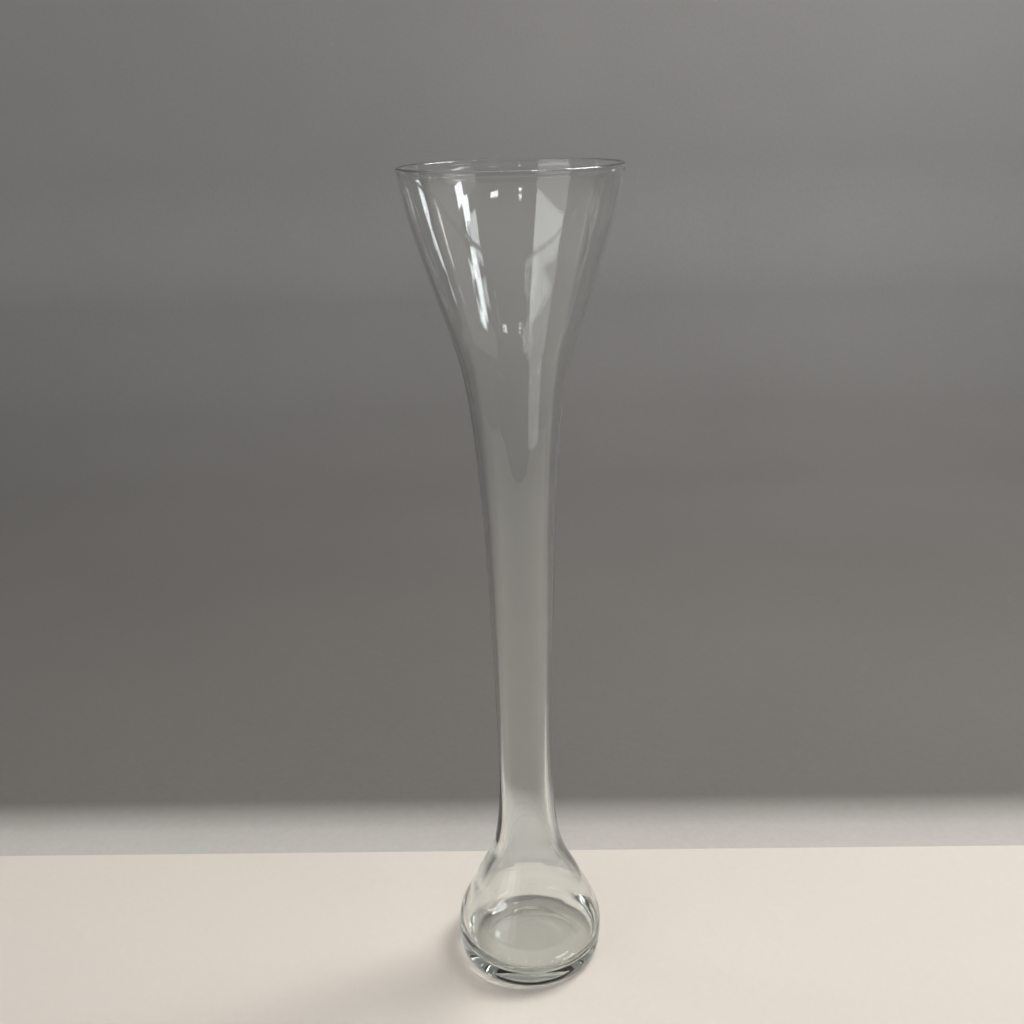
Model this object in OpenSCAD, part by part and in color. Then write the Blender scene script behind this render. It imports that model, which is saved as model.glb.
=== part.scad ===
// Glass bud vase: a tall trumpet on a slender stem, over a round bulb with a thick, flat base.
// The real vase is one piece of clear blown glass. Here it is divided, at level planes, into the
// zones that a glass worker names. Each zone is a solid of revolution, and each meets the next
// face to face, so that together they fill exactly the one body of glass.
// The axis is Z, the vase stands on z = 0, and every height is taken from there.

/* [Whole vase] */
// Height from the standing ring to the top of the rim
height = 400; // [360:1:440]

/* [Base and bulb] */
// Radius of the foot where the heel turns up from the underside
foot_r = 31; // [30:0.5:36]
// Squareness of the heel: 2 is an ellipse, and higher is a tighter corner
heel_power = 3.8; // [2:0.1:5]
// Radius of the bulb at its widest
belly_r = 37.5; // [35:0.5:42]
// Height of the widest place of the bulb
belly_h = 15; // [12:0.5:20]
// Radius of the bulb's shoulder
shoulder_r = 28.1; // [24:0.5:32]
// Height of the bulb's shoulder
shoulder_h = 40; // [36:0.5:44]
// Radius of the throat, where the bulb runs into the stem
throat_r = 18.8; // [16:0.1:22]
// Height of the throat
throat_h = 60; // [54:0.5:66]
// Thickness of the solid glass under the middle of the bulb
floor_t = 3; // [3:0.1:8]
// Height over which the inside of the bulb curves up from its floor into its wall
bowl_h = 15; // [12:0.5:24]
// Squareness of the inside of the bulb: 2 is an ellipse
bowl_power = 3; // [2:0.1:3.5]
// Radius of the hollow under the foot
punt_r = 25; // [20:0.5:29]
// Depth of the hollow under the foot at its middle
punt_depth = 1; // [0.5:0.1:2]

/* [Stem] */
// Radius of the stem just above the throat
collar_r = 14.8; // [13.5:0.1:16]
// Height just above the throat
collar_h = 80; // [76:0.5:90]
// Radius of the stem at its narrowest
neck_r = 13.4; // [12:0.1:14.5]
// Height of the narrowest place
neck_h = 110; // [100:1:125]
// Radius of the stem at half height
waist_r = 15.5; // [14:0.1:17]
// Height at which the waist radius is taken
waist_h = 200; // [180:1:215]
// Radius of the stem below the trumpet
upper_r = 18.1; // [17:0.1:20]
// Height at which the upper stem radius is taken
upper_h = 260; // [245:1:275]

/* [Trumpet and rim] */
// Radius where the trumpet begins to open
flare_r = 23.5; // [21:0.1:26]
// Height where the trumpet begins to open
flare_h = 312; // [300:1:320]
// Radius of the trumpet halfway up
cup_r = 35.6; // [32:0.1:38]
// Height of that halfway place
cup_h = 352; // [345:1:358]
// Radius where the trumpet turns up toward the rim
crown_r = 43.9; // [41:0.1:46]
// Height where the trumpet turns up
crown_h = 380; // [372:1:386]
// Radius of the rim
rim_r = 47.8; // [44:0.1:52]
// Outward slope of the glass at the rim, in mm across for each mm up
rim_slope = 0.12; // [0:0.01:0.3]
// Thickness of the fire-polished lip
lip_t = 2; // [1.6:0.1:2.6]
// Height of the thickened edge below the top of the rim
lip_h = 4; // [3:0.5:8]

/* [Glass thickness] */
// Wall at the widest place of the bulb
belly_wall = 2.4; // [2:0.1:4]
// Wall in the throat, where glass gathers above the bulb
throat_wall = 3.8; // [2.4:0.1:4.4]
// Wall at the narrowest place of the stem
neck_wall = 2.6; // [2:0.1:3.2]
// Wall at the foot of the trumpet
flare_wall = 2; // [1.6:0.1:2.6]
// Wall just below the lip
rim_wall = 1.6; // [1.2:0.1:2]

/* [Hidden] */
$fn = 96;

// Levels at which one zone of the glass ends and the next begins.
base_top = floor_t;
bulb_top = throat_h;
neck_top = waist_h - (waist_h - neck_h) / 3;
stem_top = flare_h;
trumpet_top = height - lip_h;

// Spacing of outline points: close where the glass curves hard, wide along the stem.
fine_step = 1.25;
long_step = 4;
arc_steps = 20;

glass_tint = [0.80, 0.87, 0.85, 0.45];

// Places on the outside of the glass above the widest part, as [height, radius].
outside = [
    [belly_h, belly_r], [shoulder_h, shoulder_r], [throat_h, throat_r], [collar_h, collar_r],
    [neck_h, neck_r], [waist_h, waist_r], [upper_h, upper_r], [flare_h, flare_r],
    [cup_h, cup_r], [crown_h, crown_r], [height, rim_r]
];

// Places where the thickness of the wall is known, as [height, thickness].
walls = [
    [belly_h, belly_wall], [throat_h, throat_wall], [neck_h, neck_wall],
    [flare_h, flare_wall], [height, rim_wall]
];

// Slope at place i of a curve: level at its start, end_slope at its end, and otherwise the
// slope between the places on either side.
function slope(curve, i, end_slope) =
    i == 0 ? 0
    : i == len(curve) - 1 ? end_slope
    : (curve[i + 1][1] - curve[i - 1][1]) / (curve[i + 1][0] - curve[i - 1][0]);

// Index of the stretch of a curve that holds height z.
function stretch(curve, z) = max([for (i = [0 : len(curve) - 2]) if (i == 0 || z >= curve[i][0]) i]);

// Value at height z of the smooth curve through its places: a cubic over each stretch, which
// keeps both the value and the slope at every place.
function smooth(curve, z, end_slope) =
    let (
        i = stretch(curve, z),
        span = curve[i + 1][0] - curve[i][0],
        t = (z - curve[i][0]) / span,
        rise = curve[i + 1][1] - curve[i][1],
        start = slope(curve, i, end_slope) * span,
        end = slope(curve, i + 1, end_slope) * span
    )
    curve[i][1] + t * start + t * t * (3 * rise - 2 * start - end) + t * t * t * (start + end - 2 * rise);

// One quarter of a superellipse: 0 to 1 across while u goes 0 to 1 up.
function quarter(u, power) = pow(1 - pow(1 - u, power), 1 / power);

function outer_r(z) =
    z < belly_h ? foot_r + (belly_r - foot_r) * quarter(z / belly_h, heel_power)
    : smooth(outside, z, rim_slope);

function wall(z) = z < belly_h ? belly_wall : smooth(walls, z, 0);

function inner_r(z) =
    let (u = min(1, (z - floor_t) / bowl_h))
    (outer_r(z) - wall(z)) * quarter(u, bowl_power);

// Depth of the hollow under the foot at radius r: a plain shallow dish.
function punt_z(r) = punt_depth * (1 - pow(r / punt_r, 2));

// Heights from low to high, no further apart than step.
function levels(low, high, step) =
    let (count = ceil((high - low) / step))
    [for (i = [0 : count]) low + (high - low) * i / count];

// Heights from low to high, crowded toward low, for the round start of a quarter.
function crowded(low, high, power) =
    [for (i = [0 : arc_steps]) low + (high - low) * (1 - pow(cos(90 * i / arc_steps), 2 / power))];

function reversed(list) = [for (i = [len(list) - 1 : -1 : 0]) list[i]];

// A ring of glass between the inside and the outside of the vase, over the given heights.
module glass_ring(heights) {
    outside_edge = [for (z = heights) [outer_r(z), z]];
    inside_edge = [for (z = reversed(heights)) [inner_r(z), z]];
    color(glass_tint) rotate_extrude() polygon(concat(outside_edge, inside_edge));
}

// Solid glass under the bulb: a rounded heel, a standing ring and a shallow hollow inside it.
module base() {
    heel = [for (z = crowded(0, base_top, heel_power)) [outer_r(z), z]];
    underside = [for (i = [0 : arc_steps]) let (r = punt_r * i / arc_steps) [r, punt_z(r)]];
    color(glass_tint) rotate_extrude() polygon(concat([[0, base_top]], underside, heel));
}

// The round bulb, with its inside curving up from the floor.
module bulb() {
    bowl_top = floor_t + bowl_h;
    bowl = crowded(base_top, bowl_top, bowl_power);
    shoulder = levels(bowl_top + fine_step, bulb_top, fine_step);
    glass_ring(concat(bowl, shoulder));
}

// The narrow part of the stem, above the bulb.
module neck() {
    glass_ring(levels(bulb_top, neck_top, long_step));
}

// The long, slowly widening part of the stem.
module stem() {
    glass_ring(levels(neck_top, stem_top, long_step));
}

// The open trumpet.
module trumpet() {
    glass_ring(levels(stem_top, trumpet_top, 2 * fine_step));
}

// The fire-polished rim: the wall thickens a little into a rounded lip.
module rim() {
    lip_r = lip_t / 2;
    lip_z = height - lip_r;
    heights = levels(trumpet_top, lip_z, fine_step);
    spread = lip_z - trumpet_top;
    function lip_in(z) =
        let (t = (z - trumpet_top) / spread)
        inner_r(z) + (rim_r - lip_t - inner_r(lip_z)) * t * t;
    function lip_out(z) =
        let (t = (z - trumpet_top) / spread)
        outer_r(z) + (rim_r - outer_r(lip_z)) * t * t;
    outside_edge = [for (z = heights) [lip_out(z), z]];
    inside_edge = [for (z = reversed(heights)) [lip_in(z), z]];
    crown = [for (a = [15 : 15 : 165]) [rim_r - lip_r + lip_r * cos(a), lip_z + lip_r * sin(a)]];
    color(glass_tint) rotate_extrude() polygon(concat(outside_edge, crown, inside_edge));
}

base();
bulb();
neck();
stem();
trumpet();
rim();
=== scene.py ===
"""Glass bud vase: one continuous body of blown glass on a pale table top, before a grey backdrop."""
import math

import bpy
import numpy as np
from mathutils import Matrix, Vector


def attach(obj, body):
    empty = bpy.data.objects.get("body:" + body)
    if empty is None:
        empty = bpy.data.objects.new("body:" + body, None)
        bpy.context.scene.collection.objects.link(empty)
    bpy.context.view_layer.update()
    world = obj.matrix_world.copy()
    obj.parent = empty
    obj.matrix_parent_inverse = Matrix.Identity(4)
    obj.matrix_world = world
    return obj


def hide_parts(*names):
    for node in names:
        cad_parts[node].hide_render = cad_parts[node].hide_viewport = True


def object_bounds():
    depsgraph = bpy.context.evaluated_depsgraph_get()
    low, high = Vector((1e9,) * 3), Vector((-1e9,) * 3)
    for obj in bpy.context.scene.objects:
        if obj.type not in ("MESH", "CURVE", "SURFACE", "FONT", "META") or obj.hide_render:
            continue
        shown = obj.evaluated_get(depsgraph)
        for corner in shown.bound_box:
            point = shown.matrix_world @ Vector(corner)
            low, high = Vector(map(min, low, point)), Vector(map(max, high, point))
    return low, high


# Sizes are in metres and angles in degrees, unless a name says otherwise.

# Vase
THICK_BELOW = 0.065        # under this height the thick glass bends light most
CLOSE_SPACING = 0.0007     # spacing of the outline's points in the thick glass
WIDE_SPACING = 0.0020      # spacing above it
SECTORS = 288              # points round the vase
LEVEL_LEAN = 1e-3          # a CAD face that leans less than this is a level cut or floor
SAME_POINT = 2e-5          # outline points nearer than this are one point
SAME_LINE = 2e-7           # an outline point nearer than this to its neighbours' chord says nothing new
ZONES = ("base", "bulb", "neck", "stem", "trumpet", "rim")

# Unevenness of blown glass
WALL_WAVER = 0.00010       # how far a blown wall strays from true round
WAVER_TURN = 9.0           # how fast the lobes of the waver turn, in radians for each metre of height
# The lobes: how many go round, share of the waver, and how strongly turn and seed act on them
WAVER_LOBES = ((2, 0.55, 1.0, 1.0), (3, 0.30, -1.7, 2.1), (5, 0.15, 2.3, 0.7))
OUTSIDE_SEED = 0.4
INSIDE_SEED = 1.9
STEADY_HEIGHT = 0.02       # below this height the outside wavers less and less
STEADY_RADIUS = 0.01       # nearer the axis than this, the waver fades out
# How far the middle of the bore strays from the vase's axis, as (height, to the right, to the back)
BORE_DRIFT = (
    (0.015, 0.0018, -0.0008), (0.110, -0.0005, 0.0002), (0.250, 0.0003, 0.0), (0.400, 0.0, 0.0),
)

# Light
NEUTRAL = (1, 1, 1)
WARM = (1, 0.97, 0.93)
COOL = (0.92, 0.96, 1)
CUP_HEIGHT = 0.93          # where the lamps that the trumpet reflects aim, in vase heights
WINDOW_DISTANCE = 1.00
WALL_DISTANCE = 1.20
STRIP_DISTANCE = 2.60
# Brightness of the room from straight down (-1) to straight up (1)
ROOM_TONES = (
    (-1.0, (0.04, 0.04, 0.04)), (0.2, (0.05, 0.05, 0.052)),
    (0.6, (0.36, 0.355, 0.35)), (1.0, (0.65, 0.64, 0.62)),
)

# Camera
LENS_MM = 38.8
SENSOR_MM = 36.0
CAMERA_BACK = 1.198        # distance from the vase's axis, in vase heights
CAMERA_UP = 1.061          # height over the table, in vase heights
PITCH = 20.41
YAW = 0.40
ROLL = 1.62

# Table and backdrop
TABLE_BACK = 0.0745        # from the vase's axis to the table's back edge
TABLE_SIZE = 1.30          # front to back, and half of the width
TABLE_THICKNESS = 0.012
AIR_GAP = 0.00015          # dry glass never touches the paper all over
STAGE_TURN = -1.2          # the table's back edge is not quite square to the camera
BACKDROP_DISTANCE = 1.15
BACKDROP_WIDTH = 3.6
BACKDROP_HEIGHT = 1.5
SWEEP_RADIUS = 0.35
SWEEP_STEPS = 16
# Tones from front to back, as (distance behind the vase's axis, tone)
TABLE_TONES = ((-0.15, (0.66, 0.62, 0.57)), (0.07, (0.60, 0.555, 0.505)))
# A pale ledge shows just behind the table; past it, painted shade darkens the flat run, which takes
# more light from above, and lightens up the wall
BACKDROP_TONES_AND_SHADE = (
    (0.080, (0.46, 0.45, 0.43)), (0.112, (0.40, 0.385, 0.365)), (0.145, (0.135, 0.127, 0.120)),
    (0.550, (0.128, 0.123, 0.117)), (0.970, (0.150, 0.146, 0.142)),
    (1.100, (0.185, 0.181, 0.177)), (1.150, (0.255, 0.250, 0.246)),
)

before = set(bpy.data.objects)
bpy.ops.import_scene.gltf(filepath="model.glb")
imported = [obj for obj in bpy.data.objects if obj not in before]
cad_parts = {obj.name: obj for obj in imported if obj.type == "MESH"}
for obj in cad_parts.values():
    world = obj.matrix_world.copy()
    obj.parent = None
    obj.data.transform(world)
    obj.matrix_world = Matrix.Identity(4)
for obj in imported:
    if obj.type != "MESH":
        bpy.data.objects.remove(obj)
cad_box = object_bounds()
vase_height = cad_box[1].z


# Mesh helpers

def mesh_object(name, vertices, faces, material, smooth=True):
    mesh = bpy.data.meshes.new(name)
    mesh.from_pydata([tuple(v) for v in vertices], [], faces)
    mesh.polygons.foreach_set("use_smooth", [smooth] * len(mesh.polygons))
    mesh.update()
    piece = bpy.data.objects.new(name, mesh)
    piece.data.materials.append(material)
    bpy.context.scene.collection.objects.link(piece)
    return piece


# Node helpers

def new_material(name):
    material = bpy.data.materials.new(name)
    material.use_nodes = True
    nodes = material.node_tree.nodes
    return material, nodes, material.node_tree.links, nodes["Principled BSDF"]


def noise(nodes, links, coordinates, scale, detail, roughness=0.5):
    texture = nodes.new("ShaderNodeTexNoise")
    texture.inputs["Scale"].default_value = scale
    texture.inputs["Detail"].default_value = detail
    texture.inputs["Roughness"].default_value = roughness
    links.new(coordinates, texture.inputs["Vector"])
    return texture.outputs["Fac"]


def spread(nodes, links, value, low_in, high_in, low_out, high_out):
    ranged = nodes.new("ShaderNodeMapRange")
    ranged.inputs["From Min"].default_value = low_in
    ranged.inputs["From Max"].default_value = high_in
    ranged.inputs["To Min"].default_value = low_out
    ranged.inputs["To Max"].default_value = high_out
    links.new(value, ranged.inputs["Value"])
    return ranged.outputs["Result"]


def tone_ramp(nodes, links, value, bands):
    """A colour that runs through the bands, each given as (value, tone), as the value grows."""
    near, far = bands[0][0], bands[-1][0]
    ramp = nodes.new("ShaderNodeValToRGB")
    links.new(spread(nodes, links, value, near, far, 0, 1), ramp.inputs["Fac"])
    stops = ramp.color_ramp.elements
    stops[0].color = (*bands[0][1], 1)
    stops[1].color = (*bands[-1][1], 1)
    for place, tone in bands[1:-1]:
        stops.new((place - near) / (far - near)).color = (*tone, 1)
    return ramp.outputs["Color"]


def object_coordinates(nodes, links, stretch=(1, 1, 1)):
    source = nodes.new("ShaderNodeTexCoord")
    mapping = nodes.new("ShaderNodeMapping")
    mapping.inputs["Scale"].default_value = stretch
    links.new(source.outputs["Object"], mapping.inputs["Vector"])
    return mapping.outputs["Vector"]


# Materials

def glass_material():
    """Clear soda glass: faintly green in depth, with the soft striae of blown glass."""
    material, nodes, links, shader = new_material("blown_glass")
    shader.inputs["Base Color"].default_value = (0.985, 0.995, 0.990, 1)
    shader.inputs["Transmission Weight"].default_value = 1.0
    shader.inputs["IOR"].default_value = 1.51
    drawn_up = object_coordinates(nodes, links, stretch=(1, 1, 0.16))
    striae = noise(nodes, links, drawn_up, scale=90, detail=2)
    smudge = noise(nodes, links, object_coordinates(nodes, links), scale=40, detail=4)
    roughness = spread(nodes, links, smudge, low_in=0.45, high_in=0.75, low_out=0.0, high_out=0.035)
    links.new(roughness, shader.inputs["Roughness"])
    bump = nodes.new("ShaderNodeBump")
    bump.inputs["Strength"].default_value = 0.25
    bump.inputs["Distance"].default_value = 0.0002
    links.new(striae, bump.inputs["Height"])
    links.new(bump.outputs["Normal"], shader.inputs["Normal"])
    tint = nodes.new("ShaderNodeVolumeAbsorption")
    tint.inputs["Color"].default_value = (0.48, 0.62, 0.54, 1)
    tint.inputs["Density"].default_value = 10.0
    links.new(tint.outputs["Volume"], nodes["Material Output"].inputs["Volume"])
    return material


def mottled(nodes, links, colour, amount):
    """The colour times a faint mottle: fine fibre over slow clouds."""
    fibre = noise(nodes, links, object_coordinates(nodes, links), scale=220, detail=5, roughness=0.7)
    cloud = noise(nodes, links, object_coordinates(nodes, links), scale=3, detail=3)
    both = nodes.new("ShaderNodeMath")
    both.operation = "ADD"
    links.new(spread(nodes, links, fibre, 0.3, 0.7, -amount, amount), both.inputs[0])
    links.new(spread(nodes, links, cloud, 0.3, 0.7, 1 - amount, 1 + amount), both.inputs[1])
    scaled = nodes.new("ShaderNodeVectorMath")
    scaled.operation = "SCALE"
    links.new(colour, scaled.inputs[0])
    links.new(both.outputs["Value"], scaled.inputs["Scale"])
    return scaled.outputs["Vector"]


def paint_material(name, bands, mottle):
    """Matt paint or paper whose tone changes from front to back."""
    material, nodes, links, shader = new_material(name)
    shader.inputs["Roughness"].default_value = 0.85
    shader.inputs["Specular IOR Level"].default_value = 0.25
    split = nodes.new("ShaderNodeSeparateXYZ")
    links.new(object_coordinates(nodes, links), split.inputs["Vector"])
    tone = tone_ramp(nodes, links, split.outputs["Y"], bands)
    links.new(mottled(nodes, links, tone, mottle), shader.inputs["Base Color"])
    return material


# Vase

def cad_outline():
    """The whole outline of the glass, read from the CAD zones, as (radius, height) pairs.

    It runs from the middle of the underside, out over the heel, up the outside, over the lip and
    down the inside.
    """
    under, outside, inside = set(), set(), set()
    for name in ZONES:
        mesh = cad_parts[name].data
        for face in mesh.polygons:
            across = face.center.xy.normalized()
            lean = face.normal.xy.dot(across)
            if abs(lean) < LEVEL_LEAN:
                continue
            if lean > 0:
                group = outside
            elif name == "base":
                group = under
            else:
                group = inside
            for index in face.vertices:
                place = mesh.vertices[index].co
                group.add((round(place.xy.length, 7), round(place.z, 7)))
    out = sorted(under)
    up = sorted(outside, key=lambda p: p[1])
    down = sorted(inside, key=lambda p: -p[1])
    return drop_repeats(out + up + down)


def drop_repeats(points):
    """Leaves out each point that repeats the last one, or lies on the chord between its neighbours."""
    distinct = [points[0]]
    for point in points[1:]:
        if math.dist(point, distinct[-1]) > SAME_POINT:
            distinct.append(point)
    kept = [distinct[0]]
    for point, following in zip(distinct[1:], distinct[2:]):
        ahead = Vector(following) - Vector(kept[-1])
        aside = Vector(point) - Vector(kept[-1])
        off_chord = abs(ahead.x * aside.y - ahead.y * aside.x) / ahead.length
        if off_chord > SAME_LINE:
            kept.append(point)
    kept.append(distinct[-1])
    return kept


def eased_slopes(places, gaps):
    """Slope of each coordinate at each place, eased so that the curve never swings past a place.

    The outline starts level, running outwards, and ends level, running inwards.
    """
    steps = np.diff(places, axis=0) / gaps[:, None]
    before, after = steps[:-1], steps[1:]
    near_weight = (2 * gaps[1:] + gaps[:-1])[:, None]
    far_weight = (gaps[1:] + 2 * gaps[:-1])[:, None]
    slopes = np.zeros_like(places)
    turning = before * after <= 0
    safe_before = np.where(turning, 1, before)
    safe_after = np.where(turning, 1, after)
    blend = (near_weight + far_weight) / (near_weight / safe_before + far_weight / safe_after)
    slopes[1:-1] = np.where(turning, 0, blend)
    slopes[0] = (1, 0)
    slopes[-1] = (-1, 0)
    return slopes


def faired(points):
    """A smooth curve through the points, with its own points closest where the glass is thick."""
    places = np.array(points)
    gaps = np.linalg.norm(np.diff(places, axis=0), axis=1)
    slopes = eased_slopes(places, gaps)
    result = []
    for i, gap in enumerate(gaps):
        spacing = CLOSE_SPACING if places[i, 1] < THICK_BELOW else WIDE_SPACING
        count = max(1, math.ceil(gap / spacing))
        for t in np.arange(count) / count:
            start = (1 + 2 * t) * (1 - t) ** 2
            leave = t * (1 - t) ** 2 * gap
            end = t * t * (3 - 2 * t)
            arrive = t * t * (t - 1) * gap
            place = start * places[i] + leave * slopes[i]
            result.append(place + end * places[i + 1] + arrive * slopes[i + 1])
    result.append(places[-1])
    return np.array(result)


def waver(angles, height, seed):
    """Small departure from true round at one height: a few slow lobes that turn as they climb."""
    climb = WAVER_TURN * height
    lobes = 0
    for count, share, turn, start in WAVER_LOBES:
        lobes = lobes + share * np.cos(count * angles + turn * climb + start * seed)
    return WALL_WAVER * lobes


def bore_middle(height):
    """Where the middle of the bore lies at one height, eased between the places in BORE_DRIFT."""
    for (low, *start), (high, *end) in zip(BORE_DRIFT, BORE_DRIFT[1:]):
        if height <= high:
            t = max(0, (height - low) / (high - low))
            ease = t * t * (3 - 2 * t)
            return [a + (b - a) * ease for a, b in zip(start, end)]
    return [0, 0]


def glass_body(material):
    """One closed body of glass, turned from the CAD outline, with the unevenness of blown glass."""
    outline = faired(cad_outline())
    rings = outline[1:-1]
    angles = np.arange(SECTORS) * 2 * math.pi / SECTORS
    lip = int(np.argmax(rings[:, 1]))
    vertices = [(0, 0, outline[0][1])]
    for i, (radius, height) in enumerate(rings):
        if i < lip:
            seed, middle, ease = OUTSIDE_SEED, (0, 0), min(1, height / STEADY_HEIGHT)
        else:
            seed, middle, ease = INSIDE_SEED, bore_middle(height), 1
        uneven = ease * waver(angles, height, seed) * min(1, radius / STEADY_RADIUS)
        across = middle[0] + (radius + uneven) * np.cos(angles)
        back = middle[1] + (radius + uneven) * np.sin(angles)
        vertices.extend((x, y, height) for x, y in zip(across, back))
    vertices.append((*bore_middle(outline[-1][1]), outline[-1][1]))
    faces = []
    last = len(vertices) - 1
    last_ring = last - SECTORS
    for j in range(SECTORS):
        k = (j + 1) % SECTORS
        faces.append((0, 1 + k, 1 + j))
        for ring in range(1, last_ring, SECTORS):
            following = ring + SECTORS
            faces.append((ring + j, ring + k, following + k, following + j))
        faces.append((last_ring + j, last_ring + k, last))
    body = mesh_object("glass_body", vertices, faces, material)
    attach(body, "root")
    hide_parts(*ZONES)


# Table and backdrop

def table(material):
    """A thin top, a hair below the vase, whose back edge lies just behind it."""
    front = TABLE_BACK - TABLE_SIZE
    left, right = -TABLE_SIZE, TABLE_SIZE
    corners = [(left, front), (right, front), (right, TABLE_BACK), (left, TABLE_BACK)]
    vertices = [(x, y, z - AIR_GAP) for z in (-TABLE_THICKNESS, 0) for x, y in corners]
    faces = [(3, 2, 1, 0), (4, 5, 6, 7)]
    faces += [(i, (i + 1) % 4, (i + 1) % 4 + 4, i + 4) for i in range(4)]
    top = mesh_object("table_top", vertices, faces, material, smooth=False)
    top.rotation_euler.z = math.radians(STAGE_TURN)


def backdrop(material):
    """A painted sweep that runs back from under the table and curves up."""
    rise = [(TABLE_BACK - TABLE_SIZE, 0), (TABLE_BACK, 0)]
    turn = BACKDROP_DISTANCE - SWEEP_RADIUS
    for i in range(SWEEP_STEPS + 1):
        angle = math.radians(90 * i / SWEEP_STEPS)
        rise.append((turn + SWEEP_RADIUS * math.sin(angle), SWEEP_RADIUS * (1 - math.cos(angle))))
    rise.append((BACKDROP_DISTANCE, BACKDROP_HEIGHT))
    half = BACKDROP_WIDTH / 2
    vertices = [(x, y, z - TABLE_THICKNESS) for y, z in rise for x in (-half, half)]
    faces = [(2 * i, 2 * i + 1, 2 * i + 3, 2 * i + 2) for i in range(len(rise) - 1)]
    sweep = mesh_object("backdrop", vertices, faces, material)
    sweep.rotation_euler.z = math.radians(STAGE_TURN)


# Light

def softbox(name, aim, bearing, distance, size, power, colour=NEUTRAL):
    """A lamp that lights its aim from a bearing: degrees round from the right, and degrees up.

    Round from the right, 90 is straight behind the vase. The power is in watts.
    """
    azimuth, elevation = (math.radians(angle) for angle in bearing)
    flat = distance * math.cos(elevation)
    rise = distance * math.sin(elevation)
    offset = Vector((flat * math.cos(azimuth), flat * math.sin(azimuth), rise))
    light = bpy.data.lights.new(name, "AREA")
    light.shape = "RECTANGLE"
    light.size, light.size_y = size
    light.energy = power
    light.color = colour
    lamp = bpy.data.objects.new(name, light)
    lamp.location = Vector(aim) + offset
    lamp.rotation_euler = (-offset).to_track_quat("-Z", "Y").to_euler()
    lamp.visible_camera = False
    bpy.context.scene.collection.objects.link(lamp)


def room_light():
    """A dim room: brighter overhead than at the sides."""
    world = bpy.data.worlds.new("room")
    bpy.context.scene.world = world
    world.use_nodes = True
    nodes, links = world.node_tree.nodes, world.node_tree.links
    source = nodes.new("ShaderNodeTexCoord")
    split = nodes.new("ShaderNodeSeparateXYZ")
    links.new(source.outputs["Generated"], split.inputs["Vector"])
    tone = tone_ramp(nodes, links, split.outputs["Z"], ROOM_TONES)
    links.new(tone, nodes["Background"].inputs["Color"])


def lights():
    """The lamps. Most of them add little light: they are there for the glass to reflect."""
    foot = (0, 0, 0)
    cup = (0, 0, CUP_HEIGHT * vase_height)
    # A soft light from the back right, and weak lamps overhead that glint in the glass
    softbox("key", foot, (34, 61), 1.25, (0.42, 0.33), 9.0, WARM)
    softbox("ceiling_right", foot, (62, 72), 1.80, (0.16, 0.05), 1.2, WARM)
    softbox("ceiling_back", foot, (108, 78), 1.85, (0.10, 0.05), 0.9, WARM)
    softbox("ceiling_left", foot, (156, 64), 1.90, (0.05, 0.12), 0.9, WARM)
    # A window in front, to the right, which the left of the trumpet reflects
    softbox("pane_top", cup, (-36.5, 24.8), WINDOW_DISTANCE, (0.20, 0.045), 0.13, COOL)
    softbox("pane_middle", cup, (-30.5, 22.0), WINDOW_DISTANCE, (0.15, 0.060), 0.36, COOL)
    softbox("pane_low", cup, (-25, 19), WINDOW_DISTANCE, (0.17, 0.060), 0.42, COOL)
    # A pane and a doorway further round to the right
    softbox("pane_side", cup, (35, 10), WINDOW_DISTANCE, (0.13, 0.05), 0.12, COOL)
    softbox("doorway", cup, (13, 16), WINDOW_DISTANCE, (0.04, 0.06), 0.04, WARM)
    # Pale walls, in front to the left and along the right
    softbox("wall_left", cup, (-141, 25.8), WALL_DISTANCE, (0.78, 0.15), 1.15)
    softbox("wall_left_middle", cup, (-141, 14.5), WALL_DISTANCE, (0.85, 0.32), 0.9)
    softbox("wall_left_low", cup, (-141, -4), WALL_DISTANCE, (0.70, 0.45), 1.1)
    softbox("wall_right", cup, (-16, 15), 1.30, (1.60, 0.33), 0.7)
    # Strip lamps far down the room, past the camera
    softbox("strip_right", cup, (-70, 22), STRIP_DISTANCE, (0.40, 0.05), 0.75, WARM)
    softbox("strip_left", cup, (-101, 22.8), STRIP_DISTANCE, (0.18, 0.03), 0.35, WARM)
    softbox("strip_left_low", cup, (-101, 21.4), STRIP_DISTANCE, (0.18, 0.03), 0.35, WARM)
    # A wash over the upper right of the backdrop, and a weaker one over its left
    upper_right = (0.75, BACKDROP_DISTANCE, 0.75)
    lower_left = (-0.80, BACKDROP_DISTANCE, 0.30)
    softbox("wash_right", upper_right, (-75, 30), 0.85, (0.5, 0.3), 6.5)
    softbox("wash_left", lower_left, (-100, 35), 0.90, (0.5, 0.4), 1.7)


# Camera

def camera():
    """A camera that looks down at the vase from the front, slightly turned and tilted."""
    lens = bpy.data.cameras.new("camera")
    lens.lens = LENS_MM
    lens.sensor_width = SENSOR_MM
    view = bpy.data.objects.new("camera", lens)
    place = Vector((0, -CAMERA_BACK * vase_height, CAMERA_UP * vase_height))
    aim = Matrix.Rotation(math.radians(YAW), 4, "Z")
    aim @= Matrix.Rotation(math.radians(90 - PITCH), 4, "X")
    aim @= Matrix.Rotation(math.radians(-ROLL), 4, "Z")
    view.matrix_world = Matrix.Translation(place) @ aim
    bpy.context.scene.collection.objects.link(view)
    bpy.context.scene.camera = view


def rendering():
    """Enough bounces for light to pass both walls and the thick base."""
    scene = bpy.context.scene
    scene.cycles.max_bounces = 24
    scene.cycles.transmission_bounces = 20
    scene.cycles.glossy_bounces = 8
    scene.cycles.blur_glossy = 0.0
    scene.view_settings.view_transform = "Standard"


camera()
glass_body(glass_material())
table(paint_material("table_paper", TABLE_TONES, 0.015))
# The backdrop's tones hold painted shade: dark on the flat run, lighter up the wall
backdrop(paint_material("backdrop_paint_and_shade", BACKDROP_TONES_AND_SHADE, 0.04))
room_light()
lights()
rendering()
